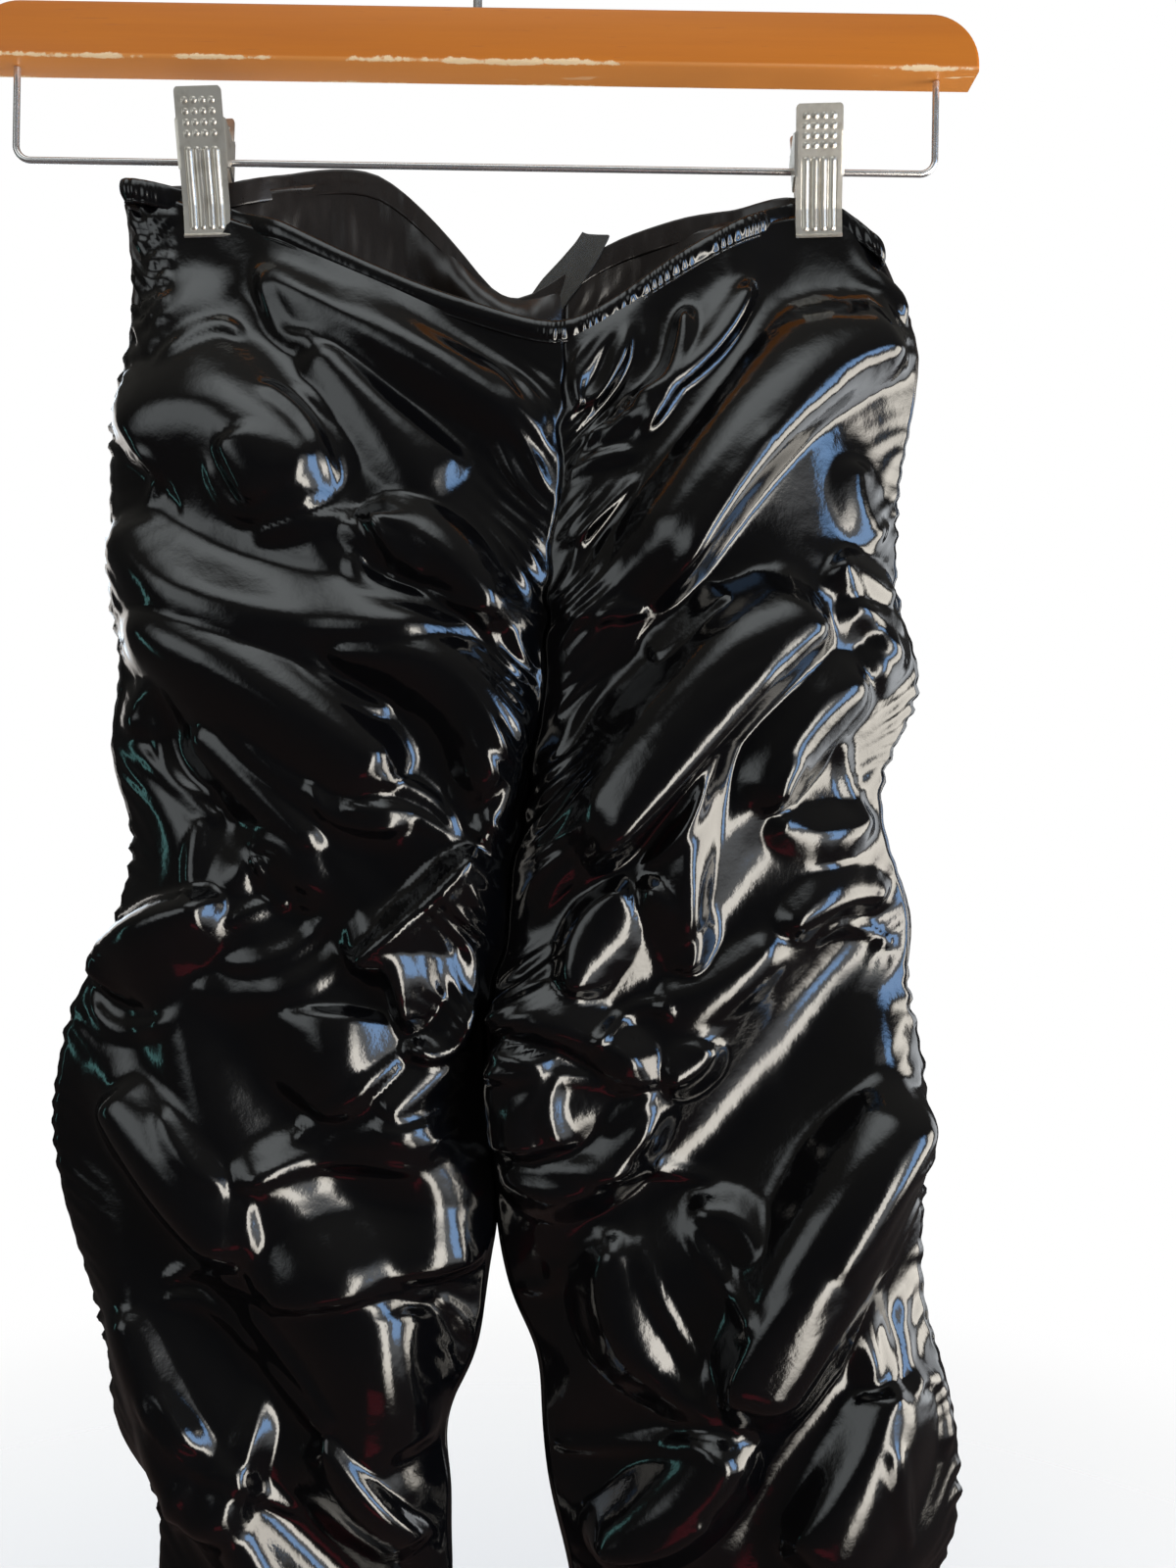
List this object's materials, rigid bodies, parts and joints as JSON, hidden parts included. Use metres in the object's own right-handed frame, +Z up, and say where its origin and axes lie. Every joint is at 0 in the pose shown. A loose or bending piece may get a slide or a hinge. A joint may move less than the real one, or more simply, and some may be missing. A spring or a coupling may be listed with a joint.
{
  "type": "trousers on clip hanger",
  "caption": "High-waisted slim trousers in ruched high-gloss faux leather, hung flat by the waist from the sprung clips of a wooden bar hanger.",
  "frame": {"origin": "inside the crown of the hanger's hook, where a rail carries it", "axes": "+Z up, +X towards the wearer's left along the hanger's bar, and the front of the trousers faces -Y"},
  "size_m": [0.4094, 0.0919, 1.1036],
  "materials": {
    "vinyl": "gloss",
    "tape": "matte",
    "wood": "satin",
    "steel": "polished",
    "nickel": "satin"
  },
  "bodies": {
    "root": {"front_leg_right": "vinyl", "front_leg_left": "vinyl", "back_leg_right": "vinyl", "back_leg_left": "vinyl", "waist_casing_front": "vinyl", "waist_casing_back": "vinyl", "waist_ribbon": "tape", "hanger_bar": "wood", "hook": "steel", "hook_ferrule": "steel", "clip_rod": "steel", "clip_right_front": "nickel", "clip_right_back": "nickel", "clip_right_spring": "steel", "clip_left_front": "nickel", "clip_left_back": "nickel", "clip_left_spring": "steel"}
  },
  "joints": []
}
